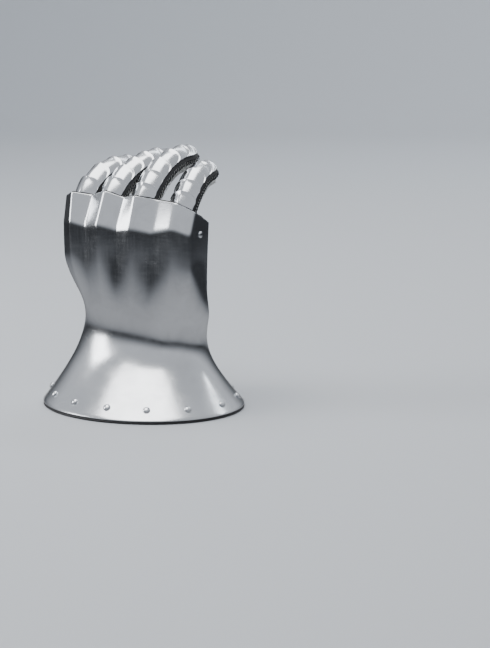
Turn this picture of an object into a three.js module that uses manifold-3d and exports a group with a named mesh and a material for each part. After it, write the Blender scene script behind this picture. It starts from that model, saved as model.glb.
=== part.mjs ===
// Armoured gauntlet for the right hand, standing on the rim of its flared cuff.
// Millimetres, +Z up. The back of the hand faces -Y, the thumb is on the -X side, the palm faces +Y.
// One steel plate runs from the cuff rim over the wrist to the knuckles. Leather straps carry the small
// curved plates (lames) of each finger, over a soft leather glove that is hollow and open at the wrist.

import * as THREE from 'three';
import { mergeVertices } from 'three/addons/utils/BufferGeometryUtils.js';
import Module from 'manifold-3d';

const wasm = await Module();
wasm.setup();

// ---------------------------------------------------------------- driving dimensions

const GAP = 0.3;
const LAYER_GAP = 0.45;
const STEEL = 1.4;
const LAME_STEEL = 0.7;
const STRAP = 1.2;
const GLOVE_WALL = 1.2;
const GLOVE_PALM_WALL = 1.5;
const LINING = 2;
const TRIM_LEATHER = 1.3;

const CUFF = { halfWidth: 83, halfDepth: 70.6, rimHeight: 3, flare: 1.45 };
const WRIST = { x: -4, y: 13, z: 57, halfWidth: 50.5, halfDepth: 34, fall: 0.17 };
const HAND_HEIGHT = 88;
const NECK = 0.08;

// The lines that run up the back of the hand. angle is where a line leaves the oval wrist (90 is the
// thumb side, 180 the back of the hand). crease is its point on the knuckle crease, edge on the top edge.
const LINES = [
  { name: 'thumb_corner', angle: 118, crease: [-61.5, -15.5, 145], edge: [-62, -10, 165] },
  { name: 'index_ridge', angle: 134.5, crease: [-50, -26.5, 146.3], edge: [-51.5, -19, 169] },
  { name: 'index_valley', angle: 147.5, crease: [-37, -25, 143.9], edge: [-36.5, -12.5, 166.5] },
  { name: 'middle_ridge', angle: 159, crease: [-22, -32, 146.2], edge: [-21.5, -20, 171.3] },
  { name: 'middle_valley', angle: 172, crease: [-9.5, -26, 142], edge: [-7, -15, 166] },
  { name: 'ring_ridge', angle: 185.5, crease: [5.5, -29.5, 143.5], edge: [5.5, -20.5, 168.5] },
  { name: 'ring_valley', angle: 197.5, crease: [20, -22.5, 140.5], edge: [20, -12, 165] },
  { name: 'little_ridge', angle: 213.5, crease: [38, -23.5, 144.5], edge: [38.5, -14, 163.5] },
  { name: 'little_corner', angle: 230.5, crease: [51, -16, 139], edge: [51, -7.5, 156.5] },
];

// The free edges of the plate beside the thumb and beside the palm, from the neck up to the crease row.
const THUMB_ARCH = {
  angle: 45,
  points: [[-56, 30, 84], [-63, 19, 100], [-67, 7, 118], [-66.5, 5, 136]],
  corner: [-63, 13, 150],
};
const PALM_FLANGE = {
  angle: 304,
  points: [[47, 21, 74], [50, 14.5, 94], [51.5, 12.5, 116], [52.6, 12.2, 138]],
  corner: [52.5, 13.3, 146.5],
};

const CUFF_RIVETS = { count: 14, start: 182, down: 0.875, headRadius: 2.9, headHeight: 1.9 };
const RIVET = { shankRadius: 1.2, holeRadius: 1.6, tailRadius: 2.2, tailHeight: 0.6, gap: 0.2, tailGap: 0.7, sides: 6 };
const SIDE_RIVETS = [
  { name: 'palm_flange', column: 9.55, row: 1 },
  { name: 'thumb_corner', column: 0.3, row: 1.55 },
  { name: 'thumb_base_low', column: 0.1, row: 0.02 },
  { name: 'thumb_base_high', column: 0.2, row: 0.14 },
];

// base is the middle of the digit where it leaves the plate, and splay turns it towards the little finger.
// slopes lists how steeply it climbs at a distance from the base, and width and depth are half its glove's.
const FINGERS = [
  {
    name: 'index', base: [-46.8, -1.5, 160.3], splay: 14, width: 9.8, depth: 8.2, length: 80, lames: 6,
    slopes: [[-20, 64], [0, 57], [26, 22], [45, 0], [80, -20]],
  },
  {
    name: 'middle', base: [-21.5, -4, 162.5], splay: 12, width: 9.8, depth: 8.2, length: 84, lames: 7,
    slopes: [[-20, 62], [0, 50], [24, 26], [50, 10], [84, -30]],
  },
  {
    name: 'ring', base: [6, -4, 159.5], splay: 9, width: 9.8, depth: 8.2, length: 73, lames: 6,
    slopes: [[-20, 62], [0, 54], [26, 38], [50, 12], [73, -14]],
  },
  {
    name: 'little', base: [37, 1.4, 155.2], splay: 1, width: 9.4, depth: 7.8, length: 53, lames: 5,
    slopes: [[-20, 62], [0, 56], [24, 36], [42, 6], [53, -24]],
  },
];
const THUMB = {
  name: 'thumb', base: [-40, 27, 87], ahead: [0.05, 0.65, 0.76], outward: [-0.9, 0.25, -0.35],
  width: 12, depth: 9.6, length: 62, lames: 5, slopes: [[-20, 4], [0, 0], [62, -20]],
};
const DIGIT_START = { finger: -5, thumb: 2 };
const LAME = { overlap: 4.5, halfAngle: 56, keel: 0.6, corner: 6, cornerFrom: 0.45, tipMargin: 7 };
const GLOVE_ROOT = -16;
const STRAP_HALF_ANGLE = 75;
const DIGIT_STEP = 1;
const DIGIT_SIDES = 12;

// Sections of the glove's hand, from its open wrist to the finger roots.
const GLOVE_SECTIONS = [
  { z: 46, x: -4, y: 13, halfWidth: 41, halfDepth: 27 },
  { z: 62, x: -4, y: 12, halfWidth: 40, halfDepth: 26 },
  { z: 84, x: -3, y: 7, halfWidth: 39, halfDepth: 20 },
  { z: 112, x: -4, y: 0, halfWidth: 44, halfDepth: 18 },
  { z: 136, x: -5, y: -2, halfWidth: 46, halfDepth: 15 },
  { z: 147, x: -5, y: -4, halfWidth: 45, halfDepth: 12.5 },
  { z: 151, x: -5, y: -4, halfWidth: 41, halfDepth: 9 },
];
const GLOVE_TOP_FALL = 0.09;

// ---------------------------------------------------------------- helpers

const DEGREE = Math.PI / 180;
const vector = (values) => new THREE.Vector3(...values);
const mixed = (a, b, t) => new THREE.Vector3().lerpVectors(a, b, t);
const mix = THREE.MathUtils.lerp;
const smooth = THREE.MathUtils.smoothstep;
const range = (count) => Array.from({ length: count }, (_, index) => index);

// Values from the first to the last of a list, with the given number of steps between neighbours.
function subdivided(values, steps) {
  const result = [values[0]];
  for (const index of range(values.length - 1)) {
    for (const step of range(steps[index])) {
      result.push(mix(values[index], values[index + 1], (step + 1) / steps[index]));
    }
  }
  return result;
}

function toSolid(geometry) {
  const bare = geometry.clone();
  bare.deleteAttribute('normal');
  bare.deleteAttribute('uv');
  const merged = mergeVertices(bare, 1e-4);
  return new wasm.Manifold(new wasm.Mesh({
    numProp: 3,
    vertProperties: new Float32Array(merged.attributes.position.array),
    triVerts: new Uint32Array(merged.index.array),
  }));
}

function toGeometry(solid) {
  const mesh = solid.getMesh();
  const geometry = new THREE.BufferGeometry();
  geometry.setAttribute('position', new THREE.BufferAttribute(new Float32Array(mesh.vertProperties), 3));
  geometry.setIndex(Array.from(mesh.triVerts));
  geometry.computeVertexNormals();
  return geometry;
}

function signedVolume(positions, index) {
  let volume = 0;
  for (let k = 0; k < index.length; k += 3) {
    const [a, b, c] = [positions[index[k]], positions[index[k + 1]], positions[index[k + 2]]];
    volume += a.dot(new THREE.Vector3().crossVectors(b, c)) / 6;
  }
  return volume;
}

// A closed geometry from shared points and triangles, turned so that its faces look outwards.
function closedGeometry(positions, index) {
  if (signedVolume(positions, index) < 0) {
    index.reverse();
  }
  const geometry = new THREE.BufferGeometry().setFromPoints(positions);
  geometry.setIndex(index);
  const used = mergeVertices(geometry.toNonIndexed(), 1e-5);
  used.computeVertexNormals();
  return used;
}

// A wall between an outer and an inner grid of points. pointAt(column, row, side) gives its points, and
// hasCell says which cells of the grid are there; a closed grid joins its last column to its first.
function wall(columns, rows, pointAt, { closed = false, hasCell = () => true } = {}) {
  const positions = [];
  for (const side of [0, 1]) {
    for (const row of range(rows)) {
      for (const column of range(columns)) {
        positions.push(pointAt(column, row, side));
      }
    }
  }
  const inner = columns * rows;
  const at = (column, row) => row * columns + (column % columns);
  const index = [];
  const edges = new Map();
  for (const row of range(rows - 1)) {
    for (const column of range(closed ? columns : columns - 1)) {
      if (!hasCell(column, row)) {
        continue;
      }
      const ring = [at(column, row), at(column + 1, row), at(column + 1, row + 1), at(column, row + 1)];
      index.push(ring[0], ring[1], ring[2], ring[0], ring[2], ring[3]);
      index.push(inner + ring[2], inner + ring[1], inner + ring[0]);
      index.push(inner + ring[3], inner + ring[2], inner + ring[0]);
      ring.forEach((from, corner) => edges.set(`${from} ${ring[(corner + 1) % 4]}`, true));
    }
  }
  for (const edge of edges.keys()) {
    const [from, to] = edge.split(' ').map(Number);
    if (!edges.has(`${to} ${from}`)) {
      index.push(to, from, inner + from, to, inner + from, inner + to);
    }
  }
  return closedGeometry(positions, index);
}

// A solid through a stack of rings with the same number of points, closed by a fan at both ends.
function loft(rings) {
  const sides = rings[0].length;
  const positions = rings.flat();
  const index = [];
  for (const row of range(rings.length - 1)) {
    for (const side of range(sides)) {
      const next = (side + 1) % sides;
      const [a, b] = [row * sides + side, row * sides + next];
      index.push(a, b, b + sides, a, b + sides, a + sides);
    }
  }
  const centre = (ring) => ring.reduce((sum, point) => sum.add(point), new THREE.Vector3()).divideScalar(sides);
  const bottom = positions.push(centre(rings[0])) - 1;
  const top = positions.push(centre(rings[rings.length - 1])) - 1;
  const last = (rings.length - 1) * sides;
  for (const side of range(sides)) {
    const next = (side + 1) % sides;
    index.push(bottom, next, side, top, last + side, last + next);
  }
  return closedGeometry(positions, index);
}

// ---------------------------------------------------------------- the steel plate's surface

function wristPoint(angle) {
  const x = WRIST.x - WRIST.halfWidth * Math.sin(angle * DEGREE);
  const y = WRIST.y + WRIST.halfDepth * Math.cos(angle * DEGREE);
  return new THREE.Vector3(x, y, WRIST.z - WRIST.fall * x);
}

// down is 0 at the wrist and 1 at the cuff's rim.
function cuffPoint(angle, down) {
  const wrist = wristPoint(angle);
  const spread = down ** CUFF.flare;
  const x = mix(wrist.x, -CUFF.halfWidth * Math.sin(angle * DEGREE), spread);
  const y = mix(wrist.y, CUFF.halfDepth * Math.cos(angle * DEGREE), spread);
  return new THREE.Vector3(x, y, mix(wrist.z, CUFF.rimHeight, down));
}

function roundPoint(angle, rise) {
  return wristPoint(angle).add(new THREE.Vector3(0, 0, HAND_HEIGHT * rise));
}

const fluteDepth = (rise) => smooth(rise, 0.18, 0.8);

// A valley's line starts on the chord between the ridges beside it, so that the flutes fade towards the wrist.
function unfluted(index) {
  const crease = vector(LINES[index].crease);
  if (!LINES[index].name.endsWith('valley')) {
    return crease;
  }
  const before = vector(LINES[index - 1].crease);
  const after = vector(LINES[index + 1].crease);
  return mixed(before, after, (crease.x - before.x) / (after.x - before.x));
}

// rise is 0 at the wrist, 1 on the knuckle crease and 2 on the top edge.
function linePoint(index, rise) {
  const line = LINES[index];
  const crease = vector(line.crease);
  if (rise > 1) {
    return crease.lerp(vector(line.edge), rise - 1);
  }
  const start = wristPoint(line.angle);
  const target = mixed(unfluted(index), crease, fluteDepth(rise));
  const back = smooth(-Math.cos(line.angle * DEGREE), 0.4, 1);
  const outward = mix(smooth(rise, 0.05, 0.7), 1 - (1 - rise) ** 2.2, back);
  const point = mixed(start, target, Math.max(outward, 0));
  point.z = mix(start.z, line.crease[2], rise);
  return point;
}

function freeEdge({ angle, points, corner }) {
  const curve = new THREE.CatmullRomCurve3([roundPoint(angle, NECK), ...points.map(vector)]);
  const crease = vector(points[points.length - 1]);
  return (rise) => {
    if (rise <= NECK) {
      return roundPoint(angle, rise);
    }
    return rise <= 1 ? curve.getPoint((rise - NECK) / (1 - NECK)) : crease.clone().lerp(vector(corner), rise - 1);
  };
}

// The guides divide the plate into columns: 0 is the thumb arch, 1 to 9 the lines, 10 the palm flange.
// Columns 10 to 12 go round the closed wrist under the palm, back to the thumb arch.
const GUIDES = [
  { angle: THUMB_ARCH.angle, at: freeEdge(THUMB_ARCH), flatness: 0.75 },
  ...LINES.map((line, index) => ({ angle: line.angle, at: (rise) => linePoint(index, rise), flatness: 1 })),
  { angle: PALM_FLANGE.angle, at: freeEdge(PALM_FLANGE), flatness: 1 },
];
const LAST_GUIDE = GUIDES.length - 1;
const COLUMN_COUNT = LAST_GUIDE + 2;

function columnAngle(column) {
  if (column >= LAST_GUIDE) {
    const round = (column - LAST_GUIDE) / (COLUMN_COUNT - LAST_GUIDE);
    return mix(PALM_FLANGE.angle, 360 + THUMB_ARCH.angle, round);
  }
  const first = Math.max(Math.floor(column), 0);
  return mix(GUIDES[first].angle, GUIDES[first + 1].angle, column - first);
}

function platePoint(column, rise) {
  const angle = columnAngle(column);
  if (rise < 0) {
    return cuffPoint(angle, -rise);
  }
  if (column > LAST_GUIDE || (column < 0 && rise <= NECK)) {
    return roundPoint(angle, rise);
  }
  const first = THREE.MathUtils.clamp(Math.floor(column), 0, LAST_GUIDE - 1);
  const [before, after] = [GUIDES[first], GUIDES[first + 1]];
  const across = column - first;
  const [a, b] = [before.at(rise), after.at(rise)];
  const flat = a.clone().lerp(b, across);
  const shift = a.sub(roundPoint(before.angle, rise)).lerp(b.sub(roundPoint(after.angle, rise)), across);
  const rounded = roundPoint(angle, rise).add(shift);
  return rounded.lerp(flat, fluteDepth(rise) * before.flatness);
}

function plateNormal(column, rise) {
  const step = 0.02;
  const wrapped = (value) => (rise <= NECK ? (value + COLUMN_COUNT) % COLUMN_COUNT : value);
  const low = rise > NECK ? Math.max(column - step, 0) : column - step;
  const high = rise > NECK ? Math.min(column + step, LAST_GUIDE) : column + step;
  const along = platePoint(wrapped(high), rise).sub(platePoint(wrapped(low), rise));
  const up = platePoint(column, Math.min(rise + step, 2)).sub(platePoint(column, Math.max(rise - step, -1)));
  return along.cross(up).normalize();
}

const plateOffset = (column, rise, depth) => (
  platePoint(column, rise).addScaledVector(plateNormal(column, rise), -depth)
);

// ---------------------------------------------------------------- plate and its leathers

const PLATE_COLUMNS = subdivided(
  [...range(LAST_GUIDE + 1), COLUMN_COUNT],
  [7, ...LINES.slice(1).map(() => 2), 6, 9],
).slice(0, -1);
const PLATE_ROWS = subdivided([-1, 0, NECK, 1, 2], [5, 1, 7, 2]);

function cuffRivetFrames() {
  const ring = range(120).map((step) => cuffPoint(step * 3, CUFF_RIVETS.down));
  const curve = new THREE.CatmullRomCurve3(ring, true);
  return range(CUFF_RIVETS.count).map((rivet) => {
    const start = CUFF_RIVETS.start / 360;
    const angle = 360 * curve.getUtoTmapping((start + rivet / CUFF_RIVETS.count) % 1);
    const point = cuffPoint(angle, CUFF_RIVETS.down);
    const along = cuffPoint(angle + 1, CUFF_RIVETS.down).sub(cuffPoint(angle - 1, CUFF_RIVETS.down));
    const up = cuffPoint(angle, CUFF_RIVETS.down - 0.02).sub(cuffPoint(angle, CUFF_RIVETS.down + 0.02));
    return { point, normal: along.cross(up).normalize() };
  });
}

function turnedTo(geometry, { point, normal }) {
  const turn = new THREE.Quaternion().setFromUnitVectors(new THREE.Vector3(0, 1, 0), normal);
  return geometry.applyQuaternion(turn).translate(point.x, point.y, point.z);
}

function rivetHoles(frames) {
  const depth = 16;
  return frames.map((frame) => {
    const { holeRadius, sides } = RIVET;
    return toSolid(turnedTo(new THREE.CylinderGeometry(holeRadius, holeRadius, depth, sides), frame));
  });
}

// A domed head with its flat side at height base, as a half profile from the axis to the axis.
function domeProfile(base, radius, height) {
  const steps = 2;
  const arc = range(steps + 1).map((step) => {
    const turn = (Math.PI / 2) * (step / steps);
    return new THREE.Vector2(radius * Math.cos(turn), base + height * Math.sin(turn));
  });
  arc[steps].x = 0;
  return arc;
}

function sideRivet({ column, row }) {
  const sunk = 0.4;
  const profile = [new THREE.Vector2(0, -sunk), new THREE.Vector2(2.7, -sunk), ...domeProfile(0, 2.7, 1.7)];
  const frame = { point: platePoint(column, row), normal: plateNormal(column, row) };
  return toSolid(turnedTo(new THREE.LatheGeometry(profile, RIVET.sides), frame));
}

function handPlate(holes) {
  const open = (column, row) => {
    const inRing = PLATE_ROWS[row + 1] <= NECK + 1e-6;
    return inRing || PLATE_COLUMNS[column] < LAST_GUIDE;
  };
  const pointAt = (column, row, side) => plateOffset(PLATE_COLUMNS[column], PLATE_ROWS[row], side * STEEL);
  const sheet = wall(PLATE_COLUMNS.length, PLATE_ROWS.length, pointAt, { closed: true, hasCell: open });
  const riveted = wasm.Manifold.union([toSolid(sheet), ...SIDE_RIVETS.map(sideRivet)]);
  return toGeometry(riveted.subtract(wasm.Manifold.union(holes)));
}

// A band riveted inside the cuff. It shows as a thin black edge below the steel, and stands on the floor.
function cuffLining(holes) {
  const rows = [-0.56, -0.76, -0.97, -1];
  const pointAt = (column, row, side) => {
    const point = plateOffset(PLATE_COLUMNS[column], rows[row], STEEL + GAP + side * LINING);
    if (row === rows.length - 1) {
      point.z = 0;
    }
    return point;
  };
  const band = wall(PLATE_COLUMNS.length, rows.length, pointAt, { closed: true });
  return toGeometry(toSolid(band).subtract(wasm.Manifold.union(holes)));
}

function knuckleLeather() {
  const columns = PLATE_COLUMNS.filter((column) => column <= LAST_GUIDE);
  const past = 0.045;
  const rows = [1.35, 1.7, 2 + past];
  const pointAt = (column, row, side) => {
    const depth = STEEL + GAP + side * TRIM_LEATHER;
    const inside = plateOffset(columns[column], Math.min(rows[row], 2), depth);
    const beyond = Math.max(rows[row] - 2, 0);
    const upward = platePoint(columns[column], 2).sub(platePoint(columns[column], 1));
    return inside.addScaledVector(upward, beyond);
  };
  return wall(columns.length, rows.length, pointAt);
}

function thumbArchLeather() {
  const rows = subdivided([0.42, 1.3], [8]);
  const reaches = [-9, -4.5, 0, 6];
  const pointAt = (column, row, side) => {
    const depth = STEEL + GAP + side * TRIM_LEATHER;
    const edge = plateOffset(0, rows[row], depth);
    const inward = plateOffset(0.25, rows[row], depth).sub(edge).normalize();
    return edge.addScaledVector(inward, reaches[column]);
  };
  return wall(reaches.length, rows.length, pointAt);
}

function cuffRivet(frame) {
  const { shankRadius, tailRadius, tailHeight, gap, tailGap, sides } = RIVET;
  const inside = -(STEEL + GAP + LINING + tailGap);
  const profile = [
    new THREE.Vector2(0, inside - tailHeight),
    new THREE.Vector2(tailRadius, inside - tailHeight),
    new THREE.Vector2(tailRadius, inside),
    new THREE.Vector2(shankRadius, inside),
    new THREE.Vector2(shankRadius, gap),
    ...domeProfile(gap, CUFF_RIVETS.headRadius, CUFF_RIVETS.headHeight),
  ];
  return turnedTo(new THREE.LatheGeometry(profile, sides), frame);
}

// ---------------------------------------------------------------- digits

// level and up span the plane that a digit bends in: level points along it at a slope of 0, up to its back.
function fingerDigit(finger) {
  const splay = finger.splay * DEGREE;
  const level = new THREE.Vector3(Math.sin(splay), Math.cos(splay), 0);
  return { ...finger, level, up: new THREE.Vector3(0, 0, 1), start: DIGIT_START.finger };
}

function thumbDigit(thumb) {
  const level = vector(thumb.ahead).normalize();
  const up = vector(thumb.outward);
  up.addScaledVector(level, -up.dot(level)).normalize();
  return { ...thumb, level, up, start: DIGIT_START.thumb };
}

function slopeAt({ slopes }, distance) {
  const next = slopes.findIndex(([far]) => far >= distance);
  if (next <= 0) {
    return next < 0 ? slopes[slopes.length - 1][1] : slopes[0][1];
  }
  const [[near, from], [far, to]] = [slopes[next - 1], slopes[next]];
  return mix(from, to, (distance - near) / (far - near));
}

// The centre line is walked from the base in short steps, forwards or backwards.
function digitFrame(digit, distance) {
  const ahead = (slope) => digit.level.clone().multiplyScalar(Math.cos(slope * DEGREE))
    .addScaledVector(digit.up, Math.sin(slope * DEGREE));
  const centre = vector(digit.base);
  const steps = Math.max(Math.round(Math.abs(distance) / DIGIT_STEP), 1);
  for (const step of range(steps)) {
    centre.addScaledVector(ahead(slopeAt(digit, (distance * (step + 0.5)) / steps)), distance / steps);
  }
  const slope = slopeAt(digit, distance);
  const outward = ahead(slope + 90);
  return { centre, outward, side: new THREE.Vector3().crossVectors(ahead(slope), outward) };
}

// The point at an angle round the digit from its back, in degrees, on its oval section grown by a distance.
function digitPoint(digit, distance, angle, grow, scale = 1) {
  const { centre, outward, side } = digitFrame(digit, distance);
  return centre
    .addScaledVector(outward, scale * (digit.depth + grow) * Math.cos(angle * DEGREE))
    .addScaledVector(side, scale * (digit.width + grow) * Math.sin(angle * DEGREE));
}

function digitTube(digit, start, grow, tip) {
  const dome = digit.depth + grow;
  const rings = subdivided([start, tip - dome], [8]).map((distance) => ({ distance, scale: 1 }));
  for (const step of [1, 2]) {
    const turn = (Math.PI / 2) * (step / 2.5);
    rings.push({ distance: tip - dome + dome * Math.sin(turn), scale: Math.cos(turn) });
  }
  return toSolid(loft(rings.map((ring) => range(DIGIT_SIDES).map((side) => (
    digitPoint(digit, ring.distance, (360 * (side + 0.5)) / DIGIT_SIDES, grow, ring.scale)
  )))));
}

const digitInside = (digit) => digitTube(digit, GLOVE_ROOT - 6, -GLOVE_WALL, digit.length - GLOVE_WALL);

function gloveDigit(digit, handClearance) {
  const outside = digitTube(digit, GLOVE_ROOT - 4, 0, digit.length);
  return toGeometry(outside.subtract(digitInside(digit)).subtract(handClearance));
}

function strap(digit) {
  const angles = range(6).map((step) => mix(-STRAP_HALF_ANGLE, STRAP_HALF_ANGLE, step / 5));
  const end = digit.length - 4;
  const rows = subdivided([digit.start - 1, end - 6, end - 2, end], [7, 1, 1]);
  const narrowing = rows.map((distance) => Math.sqrt(Math.max(1 - (Math.max(distance - end + 8, 0) / 8.6) ** 2, 0)));
  const pointAt = (column, row, side) => (
    digitPoint(digit, rows[row], angles[column] * narrowing[row], LAYER_GAP + side * STRAP)
  );
  return wall(angles.length, rows.length, pointAt);
}

// A curved plate over the strap. Its far end has rounded corners and rides over the near end of the next one.
function lame(digit, number) {
  const pitch = (digit.length - LAME.tipMargin - digit.start) / digit.lames;
  const start = digit.start + pitch * number;
  const length = pitch + (number < digit.lames - 1 ? LAME.overlap : 0);
  const inner = 2 * LAYER_GAP + STRAP;
  const climb = (LAME_STEEL + GAP) / pitch;
  const angles = subdivided([-1, -LAME.cornerFrom, LAME.cornerFrom, 1], [2, 2, 2]);
  const rows = [0, 0.5, 1];
  const pointAt = (column, row, side) => {
    const angle = angles[column] * LAME.halfAngle;
    const outer = Math.max(Math.abs(angles[column]) - LAME.cornerFrom, 0) / (1 - LAME.cornerFrom);
    const along = rows[row] * (length - LAME.corner * (1 - Math.sqrt(1 - outer ** 2)));
    const keel = LAME.keel * Math.exp(-((angle / 16) ** 2));
    return digitPoint(digit, start + along, angle, inner + climb * along + keel + side * LAME_STEEL);
  };
  return wall(angles.length, rows.length, pointAt);
}

// ---------------------------------------------------------------- the glove's hand

function handSection({ x, y, z, halfWidth, halfDepth }, grow, top) {
  const sides = 18;
  const power = 0.8;
  return range(sides).map((side) => {
    const turn = (2 * Math.PI * side) / sides;
    const [cosine, sine] = [Math.cos(turn), Math.sin(turn)];
    const across = (halfWidth + grow) * Math.sign(cosine) * Math.abs(cosine) ** power;
    const deep = (halfDepth + grow) * Math.sign(sine) * Math.abs(sine) ** power;
    return new THREE.Vector3(x + across, y + deep, z + top - (z > 100 ? GLOVE_TOP_FALL * across : 0));
  });
}

function handSolid(grow, bottomDrop) {
  const last = GLOVE_SECTIONS.length - 1;
  const rings = GLOVE_SECTIONS.map((section, index) => {
    const rise = index === last ? grow : 0;
    return handSection(section, grow, index === 0 ? -bottomDrop : rise);
  });
  return toSolid(loft(rings));
}

function gloveHand(digits) {
  const cavity = handSolid(-GLOVE_PALM_WALL, 10);
  return toGeometry(handSolid(0, 0).subtract(wasm.Manifold.union([cavity, ...digits.map(digitInside)])));
}

// ---------------------------------------------------------------- assembly

const MATERIALS = {
  steel: new THREE.MeshStandardMaterial({ color: 0xb9bfc6, metalness: 1, roughness: 0.28 }),
  blackLeather: new THREE.MeshStandardMaterial({ color: 0x15161a, metalness: 0, roughness: 0.6 }),
  whiteLeather: new THREE.MeshStandardMaterial({ color: 0xd9d8d4, metalness: 0, roughness: 0.7 }),
};

const gauntlet = new THREE.Group();

function add(name, geometry, material) {
  const mesh = new THREE.Mesh(geometry, MATERIALS[material]);
  mesh.name = name;
  gauntlet.add(mesh);
}

const digits = [...FINGERS.map(fingerDigit), thumbDigit(THUMB)];
const rivetFrames = cuffRivetFrames();
const holes = rivetHoles(rivetFrames);
const handClearance = handSolid(GAP, 10);

add('hand_plate', handPlate(holes), 'steel');
add('cuff_lining', cuffLining(holes), 'blackLeather');
add('knuckle_leather', knuckleLeather(), 'blackLeather');
add('thumb_arch_leather', thumbArchLeather(), 'blackLeather');
add('glove_hand', gloveHand(digits), 'whiteLeather');
for (const digit of digits) {
  add(`glove_${digit.name}`, gloveDigit(digit, handClearance), 'whiteLeather');
  add(`strap_${digit.name}`, strap(digit), 'blackLeather');
  for (const number of range(digit.lames)) {
    add(`${digit.name}_lame_${number + 1}`, lame(digit, number), 'steel');
  }
}
rivetFrames.forEach((frame, index) => add(`cuff_rivet_${index + 1}`, cuffRivet(frame), 'steel'));

export default gauntlet;
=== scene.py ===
"""Dresses a packed armoured gauntlet: satin-polished steel, riveted and whip-stitched leather, a soft glove."""

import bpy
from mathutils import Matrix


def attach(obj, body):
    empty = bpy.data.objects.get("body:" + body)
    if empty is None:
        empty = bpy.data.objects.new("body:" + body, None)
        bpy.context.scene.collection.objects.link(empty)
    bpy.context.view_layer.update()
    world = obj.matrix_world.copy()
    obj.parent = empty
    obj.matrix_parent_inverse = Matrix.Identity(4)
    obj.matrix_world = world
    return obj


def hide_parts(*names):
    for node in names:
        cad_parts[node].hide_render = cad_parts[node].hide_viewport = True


bl_info = {
    "name": "Armoured Gauntlet",
    "version": (1, 0, 0),
    "blender": (4, 5, 0),
    "location": "View3D > Sidebar > Gauntlet",
    "description": "Builds the plates, leathers, glove, rivets and stitches of a right-hand gauntlet",
    "category": "Add Mesh",
}

import math

import bmesh
import bpy
import numpy as np
from mathutils import Matrix, Vector

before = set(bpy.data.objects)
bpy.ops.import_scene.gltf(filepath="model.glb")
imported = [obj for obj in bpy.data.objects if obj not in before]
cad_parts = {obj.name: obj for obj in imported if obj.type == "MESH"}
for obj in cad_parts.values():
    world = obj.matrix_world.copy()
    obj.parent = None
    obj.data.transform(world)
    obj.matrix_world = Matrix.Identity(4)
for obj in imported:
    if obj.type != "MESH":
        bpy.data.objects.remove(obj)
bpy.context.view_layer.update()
BODY = "root"
MM = 0.001

# ---------------------------------------------------------------- the gauntlet's own sizes, in millimetres

GAP = 0.3
LAYER_GAP = 0.45
STEEL = 1.4
LAME_STEEL = 0.7
STRAP = 1.2
LINING = 2.0
TRIM_LEATHER = 1.3
CUFF = {"half_width": 83, "half_depth": 70.6, "rim_height": 3, "flare": 1.45}
WRIST = {"x": -4, "y": 13, "z": 57, "half_width": 50.5, "half_depth": 34, "fall": 0.17}
HAND_HEIGHT = 88
NECK = 0.08

# name, angle on the oval wrist, point on the knuckle crease, point on the top edge
LINES = [
    ("thumb_corner", 118, (-61.5, -15.5, 145), (-62, -10, 165)),
    ("index_ridge", 134.5, (-50, -26.5, 146.3), (-51.5, -19, 169)),
    ("index_valley", 147.5, (-37, -25, 143.9), (-36.5, -12.5, 166.5)),
    ("middle_ridge", 159, (-22, -32, 146.2), (-21.5, -20, 171.3)),
    ("middle_valley", 172, (-9.5, -26, 142), (-7, -15, 166)),
    ("ring_ridge", 185.5, (5.5, -29.5, 143.5), (5.5, -20.5, 168.5)),
    ("ring_valley", 197.5, (20, -22.5, 140.5), (20, -12, 165)),
    ("little_ridge", 213.5, (38, -23.5, 144.5), (38.5, -14, 163.5)),
    ("little_corner", 230.5, (51, -16, 139), (51, -7.5, 156.5)),
]
THUMB_ARCH = {
    "angle": 45,
    "points": [(-56, 30, 84), (-63, 19, 100), (-67, 7, 118), (-66.5, 5, 136)],
    "corner": (-63, 13, 150),
}
PALM_FLANGE = {
    "angle": 304,
    "points": [(47, 21, 74), (50, 14.5, 94), (51.5, 12.5, 116), (52.6, 12.2, 138)],
    "corner": (52.5, 13.3, 146.5),
}
CUFF_RIVETS = {"count": 14, "start": 182, "down": 0.875}
PLATE_RIVETS = [(9.55, 1), (0.3, 1.55), (0.1, 0.02), (0.2, 0.14)]

# base, splay, half width, half depth, length, lames, slopes at distances from the base
FINGERS = {
    "index": ((-46.8, -1.5, 160.3), 14, 9.8, 8.2, 80, 6, ((-20, 64), (0, 57), (26, 22), (45, 0), (80, -20))),
    "middle": ((-21.5, -4, 162.5), 12, 9.8, 8.2, 84, 7, ((-20, 62), (0, 50), (24, 26), (50, 10), (84, -30))),
    "ring": ((6, -4, 159.5), 9, 9.8, 8.2, 73, 6, ((-20, 62), (0, 54), (26, 38), (50, 12), (73, -14))),
    "little": ((37, 1.4, 155.2), 1, 9.4, 7.8, 53, 5, ((-20, 62), (0, 56), (24, 36), (42, 6), (53, -24))),
}
THUMB = {"base": (-40, 27, 87), "ahead": (0.05, 0.65, 0.76), "outward": (-0.9, 0.25, -0.35),
         "half_width": 12, "half_depth": 9.6, "length": 62, "lames": 5, "slopes": ((-20, 4), (0, 0), (62, -20))}
DIGIT_START = {"finger": -5, "thumb": 2}
LAME = {"overlap": 4.5, "half_angle": 56, "corner": 6, "corner_from": 0.45, "tip_margin": 7}
STRAP_HALF_ANGLE = 75

# z, x, y, half width, half depth of the glove's hand
GLOVE_SECTIONS = [
    (46, -4, 13, 41, 27),
    (62, -4, 12, 40, 26),
    (84, -3, 7, 39, 20),
    (112, -4, 0, 44, 18),
    (136, -5, -2, 46, 15),
    (147, -5, -4, 45, 12.5),
    (151, -5, -4, 41, 9),
]
GLOVE_ROOT = -20

# ---------------------------------------------------------------- settings a user may change


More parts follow.
